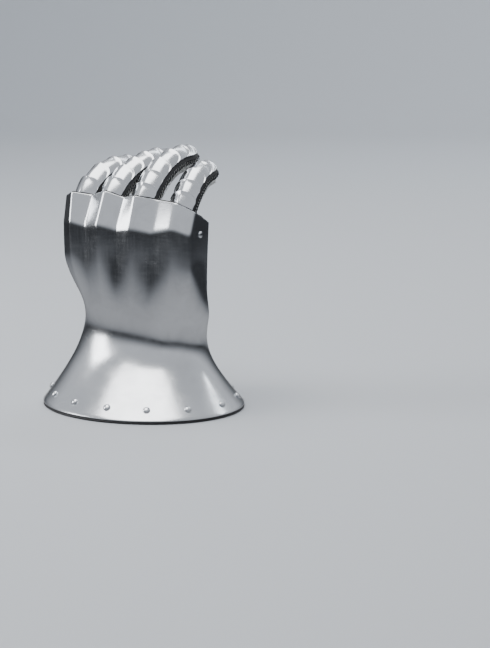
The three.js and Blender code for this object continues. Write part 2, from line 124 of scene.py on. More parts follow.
class SteelSettings(bpy.types.PropertyGroup):
    """Finish and edges of the steel plates"""

    colour: bpy.props.FloatVectorProperty(
        name="Steel", description="Colour of the polished steel", subtype="COLOR", size=3,
        min=0, max=1, default=(0.69, 0.71, 0.74))
    roughness: bpy.props.FloatProperty(
        name="Satin", description="How far the satin polish blurs what it mirrors", default=0.23, min=0.02, max=1)
    softness: bpy.props.IntProperty(
        name="Crease Softness", description="Smoothing passes over the flutes' ridges and creases", default=2, min=0)
    keel: bpy.props.FloatProperty(
        name="Lame Keel", description="Height of the ridge along the finger lames", default=1.5 * MM,
        min=0, unit="LENGTH")


class LeatherSettings(bpy.types.PropertyGroup):
    """Black leather of the straps, trims and cuff lining"""

    colour: bpy.props.FloatVectorProperty(
        name="Leather", description="Colour of the black leather", subtype="COLOR", size=3,
        min=0, max=1, default=(0.012, 0.012, 0.014))
    grain: bpy.props.FloatProperty(
        name="Grain", description="Size of the leather's pebbles", default=0.9 * MM, min=0.1 * MM, unit="LENGTH")


class GloveSettings(bpy.types.PropertyGroup):
    """The soft glove under the steel"""

    colour: bpy.props.FloatVectorProperty(
        name="Glove", description="Colour of the glove leather", subtype="COLOR", size=3,
        min=0, max=1, default=(0.72, 0.71, 0.68))
    wall: bpy.props.FloatProperty(
        name="Wall", description="Thickness of the glove leather", default=1.2 * MM, min=0.4 * MM, unit="LENGTH")
    voxel: bpy.props.FloatProperty(
        name="Mesh Size", description="Size of the glove's mesh cells", default=1.3 * MM, min=0.8 * MM, unit="LENGTH")


class StitchSettings(bpy.types.PropertyGroup):
    """Threads of the whip stitches and the seams"""

    spacing: bpy.props.FloatProperty(
        name="Spacing", description="Distance between whip stitches", default=2.6 * MM, min=1 * MM, unit="LENGTH")
    thread: bpy.props.FloatProperty(
        name="Thread", description="Radius of the waxed thread", default=0.36 * MM, min=0.1 * MM, unit="LENGTH")
    seed: bpy.props.IntProperty(
        name="Seed", description="Seed of the small differences between stitches", default=7)


class StageSettings(bpy.types.PropertyGroup):
    """Camera, floor and lights"""

    azimuth: bpy.props.FloatProperty(
        name="Azimuth", description="Turn of the camera about the gauntlet", default=math.radians(25), subtype="ANGLE")
    elevation: bpy.props.FloatProperty(
        name="Elevation", description="How far the camera looks down", default=math.radians(10.5), subtype="ANGLE")
    distance: bpy.props.FloatProperty(
        name="Distance", description="From the camera to the gauntlet", default=1.3, min=0.3, unit="LENGTH")
    floor: bpy.props.FloatVectorProperty(
        name="Floor", description="Colour of the floor and backdrop", subtype="COLOR", size=3,
        min=0, max=1, default=(0.56, 0.585, 0.62))


SETTINGS = {
    "gauntlet_steel": SteelSettings,
    "gauntlet_leather": LeatherSettings,
    "gauntlet_glove": GloveSettings,
    "gauntlet_stitch": StitchSettings,
    "gauntlet_stage": StageSettings,
}

# ---------------------------------------------------------------- node trees


class Tree:
    """Adds nodes to a shader or geometry tree."""

    def __init__(self, tree):
        tree.nodes.clear()
        self.tree = tree

    def node(self, kind, settings=None, values=None):
        """Adds a node. settings holds its properties, values its inputs by name or number, as numbers or links."""
        node = self.tree.nodes.new(kind)
        for key, value in (settings or {}).items():
            if key == "stops":
                self.set_stops(node.color_ramp, value)
            else:
                setattr(node, key, value)
        for key, value in (values or {}).items():
            socket = node.inputs[key]
            value = value.socket if isinstance(value, Value) else value
            if isinstance(value, bpy.types.NodeSocket):
                self.tree.links.new(value, socket)
            else:
                socket.default_value = value
        return node

    @staticmethod
    def set_stops(ramp, stops):
        while len(ramp.elements) < len(stops):
            ramp.elements.new(1)
        for element, (position, colour) in zip(ramp.elements, stops):
            element.position = position
            element.color = colour

    def value(self, kind, output, settings=None, values=None):
        return Value(self, self.node(kind, settings, values).outputs[output])


class Value:
    """A number in a node tree. Sums, products and powers of values add Math nodes."""

    def __init__(self, tree, socket):
        self.tree = tree
        self.socket = socket

    def math(self, operation, *others, clamp=False):
        values = dict(enumerate([self, *others]))
        settings = {"operation": operation, "use_clamp": clamp}
        return self.tree.value("ShaderNodeMath", 0, settings, values)

    def __add__(self, other):
        return self.math("ADD", other)

    __radd__ = __add__

    def __mul__(self, other):
        return self.math("MULTIPLY", other)

    __rmul__ = __mul__

    def __sub__(self, other):
        return self.math("SUBTRACT", other)

    def __rsub__(self, other):
        return (self * -1) + other

    def __pow__(self, other):
        return self.math("POWER", other)

    def between(self, low, high):
        """0 below low, 1 above high, and a smooth rise between them."""
        values = {"Value": self, "From Min": low, "From Max": high}
        return self.tree.value("ShaderNodeMapRange", "Result", {"interpolation_type": "SMOOTHSTEP"}, values)


def new_material(name):
    material = bpy.data.materials.new(name)
    material.use_nodes = True
    return material, Tree(material.node_tree)


def noise(tree, place, scale, detail=2, roughness=0.5, distortion=0):
    values = {"Vector": place, "Scale": scale, "Detail": detail,
              "Roughness": roughness, "Distortion": distortion}
    return tree.value("ShaderNodeTexNoise", "Fac", {"noise_dimensions": "3D"}, values)


def mixed_colour(tree, mask, low, high):
    values = {"Factor": mask, 6: (*low, 1), 7: (*high, 1)}
    return tree.node("ShaderNodeMix", {"data_type": "RGBA"}, values).outputs[2]


def bump(tree, height, strength, distance, normal=None):
    values = {"Height": height, "Strength": strength, "Distance": distance}
    if normal is not None:
        values["Normal"] = normal
    return tree.node("ShaderNodeBump", None, values).outputs["Normal"]


def finish_material(tree, values):
    shader = tree.node("ShaderNodeBsdfPrincipled", None, values)
    tree.node("ShaderNodeOutputMaterial", None, {"Surface": shader.outputs[0]})


def shade(colour, factor):
    return tuple(min(channel * factor, 1) for channel in colour)


def stretched(tree, place, scale, turn=(0, 0, 0)):
    values = {"Vector": place, "Rotation": turn, "Scale": scale}
    return tree.node("ShaderNodeMapping", None, values).outputs[0]


def steel_material(name, roughness, wave):
    """Satin-polished steel: crossed polishing lines, soft smears, faint waves left by the hammer."""
    settings = bpy.context.scene.gauntlet_steel
    material, tree = new_material(name)
    place = tree.node("ShaderNodeTexCoord").outputs["Object"]
    waves = noise(tree, place, 32, detail=1)
    smears = noise(tree, place, 46, detail=5, roughness=0.62, distortion=0.6)
    upright = noise(tree, stretched(tree, place, (1, 1, 0.06), (0.06, 0.04, 0)), 900, detail=3)
    level = noise(tree, stretched(tree, place, (0.08, 0.08, 1), (0, 0, 0.4)), 1100, detail=3)
    lines = (upright + level) * 0.5
    specks = noise(tree, place, 620, detail=2).between(0.74, 0.84)
    dull = smears.between(0.35, 0.75) * 0.08 + lines.between(0.35, 0.7) * 0.06 + specks * 0.05
    tint = smears.between(0.3, 0.8)
    surface = bump(tree, waves, 0.35, wave)
    surface = bump(tree, lines, 0.04, 0.1 * MM, surface)
    finish_material(tree, {
        "Base Color": mixed_colour(tree, tint, settings.colour, shade(settings.colour, 0.9)),
        "Metallic": 1.0,
        "Roughness": dull + (roughness - 0.08),
        "Normal": surface,
    })
    return material


def black_leather_material(name):
    """Black leather with a fine pebbled grain and scuffed, slightly greyed high spots."""
    settings = bpy.context.scene.gauntlet_leather
    material, tree = new_material(name)
    place = tree.node("ShaderNodeTexCoord").outputs["Object"]
    cells = {"Vector": place, "Scale": 1 / settings.grain, "Randomness": 1.0}
    pebbles = tree.value("ShaderNodeTexVoronoi", "Distance", {"feature": "DISTANCE_TO_EDGE"}, cells)
    scuffs = noise(tree, place, 180, detail=5, roughness=0.65)
    folds = noise(tree, place, 260, detail=2)
    worn = scuffs.between(0.55, 0.75)
    surface = bump(tree, folds, 0.3, 0.6 * MM)
    surface = bump(tree, pebbles.between(0, 0.12), 0.45, 0.12 * MM, surface)
    finish_material(tree, {
        "Base Color": mixed_colour(tree, worn, settings.colour, shade(settings.colour, 3.2)),
        "Roughness": worn * 0.18 + 0.46,
        "Normal": surface,
        "Specular IOR Level": 0.5,
    })
    return material


def glove_material(name):
    """Soft off-white leather with a fine grain, random soiling, and painted shade darkening its folds."""
    settings = bpy.context.scene.gauntlet_glove
    material, tree = new_material(name)
    place = tree.node("ShaderNodeTexCoord").outputs["Object"]
    cells = {"Vector": place, "Scale": 1 / (0.8 * MM), "Randomness": 1.0}
    pebbles = tree.value("ShaderNodeTexVoronoi", "Distance", {"feature": "DISTANCE_TO_EDGE"}, cells)
    soil = noise(tree, place, 60, detail=6, roughness=0.65, distortion=0.8)
    creases = noise(tree, stretched(tree, place, (1, 1, 2.6)), 190, detail=4, roughness=0.6, distortion=1.4)
    # painted shade: pointiness finds the glove's concave folds, and the colour there is darkened to stand in for
    # shade; the soil noise adds random dirt on top
    fold = tree.node("ShaderNodeNewGeometry").outputs["Pointiness"]
    hollow = 1 - Value(tree, fold).between(0.44, 0.52)
    soil_and_fold_shade = (soil.between(0.45, 0.75) * 0.45 + hollow * 0.7).math("MINIMUM", 1.0)
    surface = bump(tree, creases, 0.5, 0.9 * MM)
    surface = bump(tree, pebbles.between(0, 0.14), 0.35, 0.1 * MM, surface)
    finish_material(tree, {
        "Base Color": mixed_colour(tree, soil_and_fold_shade, settings.colour, shade(settings.colour, 0.62)),
        "Roughness": soil * 0.15 + 0.52,
        "Normal": surface,
        "Sheen Weight": 0.12,
    })
    return material


def thread_material(name, colour):
    """Waxed thread with the twist of its plies."""
    material, tree = new_material(name)
    place = tree.node("ShaderNodeTexCoord").outputs["Object"]
    twist = noise(tree, place, 1500, detail=2)
    finish_material(tree, {
        "Base Color": mixed_colour(tree, twist.between(0.4, 0.6), shade(colour, 0.7), colour),
        "Roughness": 0.55,
        "Normal": bump(tree, twist, 0.5, 0.15 * MM),
    })
    return material


# ---------------------------------------------------------------- meshes


def mesh_object(name, points, faces):
    """A mesh object from points in millimetres, with its place in its mesh."""
    mesh = bpy.data.meshes.new(name)
    mesh.from_pydata((np.asarray(points).reshape(-1, 3) * MM).tolist(), [], faces)
    mesh.validate()
    mesh.update()
    obj = bpy.data.objects.new(name, mesh)
    bpy.context.scene.collection.objects.link(obj)
    return obj


def outward_faces(obj):
    """Turns a closed mesh the right way out, and drops the points that no face uses."""
    form = bmesh.new()
    form.from_mesh(obj.data)
    loose = [vertex for vertex in form.verts if not vertex.link_faces]
    bmesh.ops.delete(form, geom=loose, context="VERTS")
    bmesh.ops.remove_doubles(form, verts=form.verts, dist=0.001 * MM)
    bmesh.ops.recalc_face_normals(form, faces=form.faces)
    form.to_mesh(obj.data)
    form.free()


def with_modifier(obj, kind, **settings):
    """Applies one modifier to the object's mesh."""
    modifier = obj.modifiers.new(kind.title(), kind)
    for key, value in settings.items():
        setattr(modifier, key, value)
    evaluated = obj.evaluated_get(bpy.context.evaluated_depsgraph_get())
    mesh = bpy.data.meshes.new_from_object(evaluated)
    obj.modifiers.clear()
    old = obj.data
    obj.data = mesh
    bpy.data.meshes.remove(old)
    return obj


def finish_piece(obj, material, nodes=()):
    """Shades the piece, gives it its material and slot, and lets it ride on the gauntlet."""
    obj.data.materials.clear()
    obj.data.materials.append(material)
    obj.data.polygons.foreach_set("material_index", [0] * len(obj.data.polygons))
    obj.data.polygons.foreach_set("use_smooth", [True] * len(obj.data.polygons))
    obj.data.update()
    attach(obj, BODY)
    if nodes:
        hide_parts(*nodes)
    return obj


def wall_faces(rows, columns, closed, cells):
    """Faces of a wall between an outer and an inner grid of points. cells marks the cells that are there."""
    inner = rows * columns
    faces = []
    edges = set()
    for row in range(rows - 1):
        for column in range(columns if closed else columns - 1):
            if not cells[row, column]:
                continue
            after = (column + 1) % columns
            ring = [row * columns + column, row * columns + after, (row + 1) * columns + after,
                    (row + 1) * columns + column]
            faces.append(ring)
            faces.append([inner + corner for corner in reversed(ring)])
            edges.update((ring[k], ring[(k + 1) % 4]) for k in range(4))
    rim = [(start, end) for start, end in edges if (end, start) not in edges]
    faces.extend([end, start, inner + start, inner + end] for start, end in rim)
    return faces


ROUNDED_FROM = 62  # degrees between two faces from which their shared edge is rounded


def wall(name, outer, inner, closed=False, cells=None, edge=0.25):
    """A closed wall between two grids of points, with its edges rounded."""
    rows, columns = outer.shape[:2]
    if cells is None:
        cells = np.ones((rows, columns), bool)
    points = np.concatenate([outer.reshape(-1, 3), inner.reshape(-1, 3)])
    obj = mesh_object(name, points, wall_faces(rows, columns, closed, cells))
    outward_faces(obj)
    if edge:
        with_modifier(obj, "BEVEL", width=edge * MM, segments=2,
                      limit_method="ANGLE", angle_limit=math.radians(ROUNDED_FROM))
    return obj


def tube_faces(rings, sides):
    """Faces of a tube through rings of points, closed at both ends."""
    faces = []
    for ring in range(rings - 1):
        for side in range(sides):
            after = (side + 1) % sides
            faces.append([ring * sides + side, ring * sides + after,
                          (ring + 1) * sides + after, (ring + 1) * sides + side])
    faces.append(list(range(sides))[::-1])
    faces.append([(rings - 1) * sides + side for side in range(sides)])
    return faces


def normals_of(along, up):
    normal = np.cross(along, up)
    return normal / np.linalg.norm(normal, axis=-1, keepdims=True)


def smooth(value, low, high):
    share = np.clip((np.asarray(value, float) - low) / (high - low), 0, 1)
    return share * share * (3 - 2 * share)


def waves(points, size, seed, count=6):
    """A soft, repeatable wobble from -1 to 1 over points, with waves about as long as size."""
    chance = np.random.default_rng(seed)
    total = np.zeros(points.shape[:-1])
    for _ in range(count):
        direction = chance.normal(size=3)
        direction /= np.linalg.norm(direction)
        length = size * chance.uniform(0.6, 1.5)
        total += np.sin(points @ direction * (2 * math.pi / length) + chance.uniform(0, 6.3))
    return total / count ** 0.5 / 1.4


# ---------------------------------------------------------------- the surface of the hand plate

GUIDE_ANGLES = np.array([THUMB_ARCH["angle"], *(line[1] for line in LINES), PALM_FLANGE["angle"]], float)
LAST_GUIDE = len(GUIDE_ANGLES) - 1
COLUMN_COUNT = LAST_GUIDE + 2


def mix(a, b, share):
    return a + (b - a) * share


def wrist_points(angles):
    turn = np.radians(angles)
    x = WRIST["x"] - WRIST["half_width"] * np.sin(turn)
    y = WRIST["y"] + WRIST["half_depth"] * np.cos(turn)
    return np.stack([x, y, WRIST["z"] - WRIST["fall"] * x], -1)


def cuff_points(angles, down):
    """down is 0 at the wrist and 1 at the rim."""
    turn = np.radians(angles)
    wrist = wrist_points(angles)
    spread = down ** CUFF["flare"]
    x = mix(wrist[..., 0], -CUFF["half_width"] * np.sin(turn), spread)
    y = mix(wrist[..., 1], CUFF["half_depth"] * np.cos(turn), spread)
    return np.stack([x, y, mix(wrist[..., 2], CUFF["rim_height"], down)], -1)


def round_points(angles, rise):
    return wrist_points(angles) + np.array([0, 0, HAND_HEIGHT * rise])


def flute_depth(rise):
    return smooth(rise, 0.18, 0.8)


def line_point(index, rise):
    """rise is 0 at the wrist, 1 on the knuckle crease and 2 on the top edge."""
    name, angle, crease, edge = LINES[index]
    crease, edge = np.array(crease, float), np.array(edge, float)
    if rise > 1:
        return mix(crease, edge, rise - 1)
    start = wrist_points(np.array(float(angle)))
    target = crease
    if name.endswith("valley"):
        before, after = (np.array(LINES[near][2], float) for near in (index - 1, index + 1))
        chord = mix(before, after, (crease[0] - before[0]) / (after[0] - before[0]))
        target = mix(chord, crease, flute_depth(rise))
    back = smooth(-math.cos(math.radians(angle)), 0.4, 1)
    outward = mix(smooth(rise, 0.05, 0.7), 1 - (1 - rise) ** 2.2, back)
    point = mix(start, target, max(outward, 0))
    point[2] = mix(start[2], crease[2], rise)
    return point


def curve_point(points, share):
    """A point on a centripetal Catmull-Rom curve through points."""
    place = share * (len(points) - 1)
    first = min(int(place), len(points) - 2)
    p1, p2 = points[first], points[first + 1]
    p0 = points[first - 1] if first else 2 * p1 - p2
    p3 = points[first + 2] if first + 2 < len(points) else 2 * p2 - p1
    t0, t1, t2 = (np.linalg.norm(b - a) ** 0.5 for a, b in ((p0, p1), (p1, p2), (p2, p3)))
    start = ((p1 - p0) / t0 - (p2 - p0) / (t0 + t1) + (p2 - p1) / t1) * t1
    end = ((p2 - p1) / t1 - (p3 - p1) / (t1 + t2) + (p3 - p2) / t2) * t1
    t = place - first
    cubic = 2 * p1 - 2 * p2 + start + end
    square = -3 * p1 + 3 * p2 - 2 * start - end
    return p1 + start * t + square * t ** 2 + cubic * t ** 3


def free_edge_point(edge, rise):
    angle = np.array(float(edge["angle"]))
    if rise <= NECK:
        return round_points(angle, rise)
    points = [round_points(angle, NECK), *(np.array(point, float) for point in edge["points"])]
    if rise <= 1:
        return curve_point(points, (rise - NECK) / (1 - NECK))
    return mix(points[-1], np.array(edge["corner"], float), rise - 1)


def column_angles(columns):
    guides = [*range(LAST_GUIDE + 1), COLUMN_COUNT]
    return np.interp(columns, guides, [*GUIDE_ANGLES, 360 + THUMB_ARCH["angle"]])


def plate_row(columns, rise):
    """Points on the outside of the plate at one height.

    Columns 0 to 10 are the guides, 10 to 12 the palm side.
    """
    angles = column_angles(columns)
    if rise < 0:
        return cuff_points(angles, -rise)
    around = round_points(angles, rise)
    lines = [line_point(index, rise) for index in range(len(LINES))]
    guides = np.array([free_edge_point(THUMB_ARCH, rise), *lines, free_edge_point(PALM_FLANGE, rise)])
    shift = guides - round_points(GUIDE_ANGLES, rise)
    first = np.clip(np.floor(columns).astype(int), 0, LAST_GUIDE - 1)
    share = (columns - first)[:, None]
    flat = mix(guides[first], guides[first + 1], share)
    rounded = around + mix(shift[first], shift[first + 1], share)
    flatness = np.where(first == 0, 0.75, 1.0)[:, None] * flute_depth(rise)
    on_palm = (columns > LAST_GUIDE)[:, None]
    return np.where(on_palm, around, mix(rounded, flat, flatness))


def softened(grid, passes):
    """Rounds the creases of a grid of points."""
    for _ in range(passes):
        result = grid.copy()
        result[1:-1] = (grid[:-2] + 2 * grid[1:-1] + grid[2:]) / 4
        result[:, 1:-1] = (result[:, :-2] + 2 * result[:, 1:-1] + result[:, 2:]) / 4
        grid = result
    return grid


def wrist_eased(grid, rises, passes=60):
    """Eases the bend at the wrist into one long curve."""
    share = (smooth(rises, -0.5, -0.15) * smooth(rises, 0.34, 0.1))[:, None, None]
    for _ in range(passes):
        level = grid.copy()
        level[1:-1] = (grid[:-2] + 2 * grid[1:-1] + grid[2:]) / 4
        grid = mix(grid, level, share)
    return grid


class PlateSurface:
    """The plate's outside as a grid of points with their normals."""

    def __init__(self, columns, rises, passes=0):
        self.columns, self.rises = columns, rises
        self.points = np.array([plate_row(columns, rise) for rise in rises])
        self.last = int(np.searchsorted(columns, LAST_GUIDE))
        if passes:
            self.points = wrist_eased(self.points, rises)
            hand = self.points[:, :self.last + 1]
            share = smooth(rises, 0.12, 0.4)[:, None, None]
            self.points[:, :self.last + 1] = mix(hand, softened(hand, passes), share)
        along = np.roll(self.points, -1, 1) - np.roll(self.points, 1, 1)
        free = np.asarray(rises) > NECK + 1e-6
        along[free, 0] = self.points[free, 1] - self.points[free, 0]
        if self.last < len(columns):
            along[free, self.last] = self.points[free, self.last] - self.points[free, self.last - 1]
        self.normals = normals_of(along, np.gradient(self.points, axis=0))

    def at_depth(self, depth):
        return self.points - self.normals * depth

    def cells(self):
        """The cells that are steel: all below the neck, and above it those between the two free edges."""
        in_ring = np.append(self.rises[1:], self.rises[-1]) <= NECK + 1e-6
        in_hand = self.columns < LAST_GUIDE - 1e-6
        return in_ring[:, None] | in_hand[None, :]


def plate_frame(column, rise):
    """A point on the outside of the plate and the way that it faces."""
    step = 0.02
    around = np.array([-step, 0, step])
    patch = PlateSurface(column + around, rise + around)
    along = patch.points[1, 2] - patch.points[1, 0]
    up = patch.points[2, 1] - patch.points[0, 1]
    return patch.points[1, 1], normals_of(along, up)


def finely(values, steps):
    """The values with steps between neighbours, as an array."""
    parts = [np.linspace(a, b, count, endpoint=False) for a, b, count in zip(values, values[1:], steps)]
    return np.append(np.concatenate(parts), values[-1])


PLATE_COLUMNS = finely([*range(LAST_GUIDE + 1), COLUMN_COUNT], [26, *[12] * (LAST_GUIDE - 2), 22, 40])[:-1]
PLATE_RISES = finely([-1, 0, NECK, 1, 2], [30, 4, 48, 15])


# ---------------------------------------------------------------- digits


class Digit:
    """The centre line of a finger or the thumb, walked from its base, and the oval surface round it."""

    def __init__(self, name, base, level, up, half_width, half_depth, length, lames, slopes, start):
        self.name, self.half_width, self.half_depth = name, half_width, half_depth
        self.length, self.lames, self.start = length, lames, start
        step = 0.5
        self.distances = np.arange(-26, length + 4 + step, step)
        slopes = np.array(slopes, float)
        level, up = (np.array(axis, float) / np.linalg.norm(axis) for axis in (level, up))
        self.slope = np.radians(np.interp(self.distances, slopes[:, 0], slopes[:, 1]))[:, None]
        ahead = np.cos(self.slope) * level + np.sin(self.slope) * up
        self.outward = np.cos(self.slope) * up - np.sin(self.slope) * level
        self.side = np.cross(ahead, self.outward)
        middle = (ahead[1:] + ahead[:-1]) / 2 * step
        walked = np.concatenate([np.zeros((1, 3)), np.cumsum(middle, axis=0)])
        origin = np.array([np.interp(0, self.distances, walked[:, axis]) for axis in range(3)])
        self.centres = walked - origin + np.array(base, float)

    def at(self, table, distance):
        return np.stack([np.interp(distance, self.distances, table[:, axis]) for axis in range(3)], -1)

    def radial(self, distance, angle):
        """The way out of the surface, for arrays of distances and angles from the back, in degrees."""
        turn = np.radians(angle)[..., None]
        out, side = self.at(self.outward, distance), self.at(self.side, distance)
        normal = out * np.cos(turn) / self.half_depth + side * np.sin(turn) / self.half_width
        return normal / np.linalg.norm(normal, axis=-1, keepdims=True)

    def surface(self, distance, angle, grow, scale=1.0):
        distance, angle, grow, scale = np.broadcast_arrays(distance, angle, grow, scale)
        turn = np.radians(angle)[..., None]
        out = self.at(self.outward, distance) * ((self.half_depth + grow) * scale)[..., None] * np.cos(turn)
        side = self.at(self.side, distance) * ((self.half_width + grow) * scale)[..., None] * np.sin(turn)
        return self.at(self.centres, distance) + out + side


def all_digits():
    digits = []
    for name, (base, splay, half_width, half_depth, length, lames, slopes) in FINGERS.items():
        turn = math.radians(splay)
        level = (math.sin(turn), math.cos(turn), 0)
        digits.append(Digit(name, base, level, (0, 0, 1), half_width, half_depth, length, lames, slopes,
                            DIGIT_START["finger"]))
    level = np.array(THUMB["ahead"]) / np.linalg.norm(THUMB["ahead"])
    up = np.array(THUMB["outward"]) - np.dot(THUMB["outward"], level) * level
    digits.append(Digit("thumb", THUMB["base"], level, up, THUMB["half_width"], THUMB["half_depth"],
                        THUMB["length"], THUMB["lames"], THUMB["slopes"], DIGIT_START["thumb"]))
    return digits


DIGITS = all_digits()


def strap_width(digit, distance):
    """The strap's half angle at a distance: it narrows to a round end."""
    end = digit.length - 4
    return STRAP_HALF_ANGLE * np.sqrt(np.clip(1 - (np.maximum(distance - end + 8, 0) / 8.6) ** 2, 0, 1))


def lame_grids(digit, number, keel):
    """Outer and inner points of one lame. Its far end has round corners and rides over the next lame."""
    pitch = (digit.length - LAME["tip_margin"] - digit.start) / digit.lames
    start = digit.start + pitch * number
    is_last = number == digit.lames - 1
    length = pitch + (0 if is_last else LAME["overlap"])
    climb = (LAME_STEEL + GAP) / pitch
    across = np.linspace(-1, 1, 37)[None, :]
    angle = across * LAME["half_angle"]
    outer = np.maximum(np.abs(across) - LAME["corner_from"], 0) / (1 - LAME["corner_from"])
    corner = LAME["corner"] * (1 - np.sqrt(1 - outer ** 2))
    along = np.linspace(0, 1, 20)[:, None] ** 0.9 * (length - corner)
    ridge = keel * np.maximum(1 - np.sqrt((across / 0.82) ** 2 + 0.0016), 0) ** 1.4
    lip = 0.8 * np.clip((along - length + corner + 3.2) / 3.2, 0, 1) ** 2
    height = 2 * LAYER_GAP + STRAP + climb * along + ridge + lip
    distance = start + along
    return [digit.surface(distance, angle, height + side * LAME_STEEL) for side in (1, 0)]


# ---------------------------------------------------------------- repeated pieces


def path_object(name, paths):
    """A mesh of open paths, each a (points, outward) pair in millimetres, for the stitches to follow."""
    points = np.concatenate([path for path, _ in paths])
    outward = np.concatenate([normal for _, normal in paths])
    edges = []
    first = 0
    for path, _ in paths:
        edges.extend((first + k, first + k + 1) for k in range(len(path) - 1))
        first += len(path)
    mesh = bpy.data.meshes.new(name)
    mesh.from_pydata((points * MM).tolist(), edges, [])
    attribute = mesh.attributes.new("outward", "FLOAT_VECTOR", "POINT")
    attribute.data.foreach_set("vector", outward.astype(np.float32).ravel())
    obj = bpy.data.objects.new(name, mesh)
    bpy.context.scene.collection.objects.link(obj)
    return obj


def geometry_tree(name, inputs):
    """A geometry node group with the given inputs after its geometry, as (name, socket type, default)."""
    group = bpy.data.node_groups.new(name, "GeometryNodeTree")
    group.interface.new_socket("Geometry", in_out="INPUT", socket_type="NodeSocketGeometry")
    for label, kind, default in inputs:
        socket = group.interface.new_socket(label, in_out="INPUT", socket_type=kind)
        if default is not None:
            socket.default_value = default
    group.interface.new_socket("Geometry", in_out="OUTPUT", socket_type="NodeSocketGeometry")
    tree = Tree(group)
    return group, tree, tree.node("NodeGroupInput").outputs


def stitch_tree():
    """Curved stitches along paths, slanted across them, each a little different."""
    group, tree, given = geometry_tree("Stitches", [
        ("Spacing", "NodeSocketFloat", 3 * MM),
        ("Length", "NodeSocketFloat", 3 * MM),
        ("Thread", "NodeSocketFloat", 0.3 * MM),
        ("Slant", "NodeSocketFloat", 0.9),
        ("Seed", "NodeSocketInt", 1),
        ("Material", "NodeSocketMaterial", None),
    ])
    half = Value(tree, given["Length"]) * 0.5
    sunk = Value(tree, given["Thread"]) * -0.6
    start = tree.node("ShaderNodeCombineXYZ", None, {"X": half * -1, "Z": sunk})
    middle = tree.node("ShaderNodeCombineXYZ", None, {"Z": Value(tree, given["Thread"]) * 2.4})
    end = tree.node("ShaderNodeCombineXYZ", None, {"X": half, "Z": Value(tree, given["Thread"]) * -0.6})
    arch = tree.node("GeometryNodeCurveQuadraticBezier", None, {
        "Resolution": 5, "Start": start.outputs[0], "Middle": middle.outputs[0], "End": end.outputs[0]})
    ring = tree.node("GeometryNodeCurvePrimitiveCircle", None, {"Resolution": 6, "Radius": given["Thread"]})
    stitch = tree.node("GeometryNodeCurveToMesh", None, {
        "Curve": arch.outputs[0], "Profile Curve": ring.outputs[0], "Fill Caps": True})
    curve = tree.node("GeometryNodeMeshToCurve", None, {"Mesh": given["Geometry"]})
    places = tree.node("GeometryNodeResampleCurve", None, {"Curve": curve.outputs[0]})
    places.mode = "LENGTH"
    tree.tree.links.new(given["Spacing"], places.inputs["Length"])
    outward = tree.node("GeometryNodeInputNamedAttribute", {"data_type": "FLOAT_VECTOR"}, {"Name": "outward"})
    tangent = tree.node("GeometryNodeInputTangent")
    turn = tree.node("FunctionNodeAxesToRotation", {"primary_axis": "Z", "secondary_axis": "X"}, {
        "Primary Axis": outward.outputs["Attribute"], "Secondary Axis": tangent.outputs[0]})
    chance = tree.node("FunctionNodeRandomValue", {"data_type": "FLOAT"}, {"Seed": given["Seed"]})
    chance.inputs[2].default_value = -0.16
    chance.inputs[3].default_value = 0.16
    slant = Value(tree, given["Slant"]) + Value(tree, chance.outputs[1])
    twist = tree.node("FunctionNodeAxisAngleToRotation", None, {"Axis": (0, 0, 1), "Angle": slant})
    turned = tree.node("FunctionNodeRotateRotation", {"rotation_space": "LOCAL"}, {
        "Rotation": turn.outputs[0], "Rotate By": twist.outputs[0]})
    placed = tree.node("GeometryNodeInstanceOnPoints", None, {
        "Points": places.outputs[0], "Instance": stitch.outputs[0], "Rotation": turned.outputs[0]})
    real = tree.node("GeometryNodeRealizeInstances", None, {"Geometry": placed.outputs[0]})
    painted = tree.node("GeometryNodeSetMaterial", None, {
        "Geometry": real.outputs[0], "Material": given["Material"]})
    tree.node("NodeGroupOutput", None, {0: painted.outputs[0]})
    return group


def rivet_tree():
    """One rivet at each point, along its outward direction."""
    group, tree, given = geometry_tree("Rivets", [
        ("Rivet", "NodeSocketObject", None),
        ("Size", "NodeSocketFloat", 1.0),
        ("Seed", "NodeSocketInt", 1),
        ("Material", "NodeSocketMaterial", None),
    ])
    outward = tree.node("GeometryNodeInputNamedAttribute", {"data_type": "FLOAT_VECTOR"}, {"Name": "outward"})
    turn = tree.node("FunctionNodeAlignRotationToVector", {"axis": "Z"},
                     {"Vector": outward.outputs["Attribute"]})
    chance = tree.node("FunctionNodeRandomValue", {"data_type": "FLOAT"}, {"Seed": given["Seed"]})
    chance.inputs[2].default_value = 0.96
    chance.inputs[3].default_value = 1.03
    size = Value(tree, chance.outputs[1]) * given["Size"]
    rivet = tree.node("GeometryNodeObjectInfo", {"transform_space": "ORIGINAL"}, {"Object": given["Rivet"]})
    placed = tree.node("GeometryNodeInstanceOnPoints", None, {
        "Points": given["Geometry"], "Instance": rivet.outputs["Geometry"], "Rotation": turn.outputs[0],
        "Scale": size})
    real = tree.node("GeometryNodeRealizeInstances", None, {"Geometry": placed.outputs[0]})
    painted = tree.node("GeometryNodeSetMaterial", None, {
        "Geometry": real.outputs[0], "Material": given["Material"]})
    tree.node("NodeGroupOutput", None, {0: painted.outputs[0]})
    return group


def grown(guide, group, **inputs):
    """Runs a geometry node group on a guide object and keeps the result as its plain mesh."""
    modifier = guide.modifiers.new(group.name, "NODES")
    modifier.node_group = group
    for item in group.interface.items_tree:
        label = item.name.lower()
        if item.in_out == "INPUT" and label in inputs:
            modifier[item.identifier] = inputs[label]
    evaluated = guide.evaluated_get(bpy.context.evaluated_depsgraph_get())
    mesh = bpy.data.meshes.new_from_object(evaluated)
    guide.modifiers.clear()
    guide.data = mesh
    return guide


def lathe(name, profile, sides=28):
    """A turned solid from a profile of (radius, height) points that starts and ends on the axis."""
    rings = [[(radius * math.cos(turn), radius * math.sin(turn), height)
              for turn in np.linspace(0, 2 * math.pi, sides, endpoint=False)] for radius, height in profile[1:-1]]
    obj = mesh_object(name, rings, tube_faces(len(rings), sides))
    outward_faces(obj)
    return obj


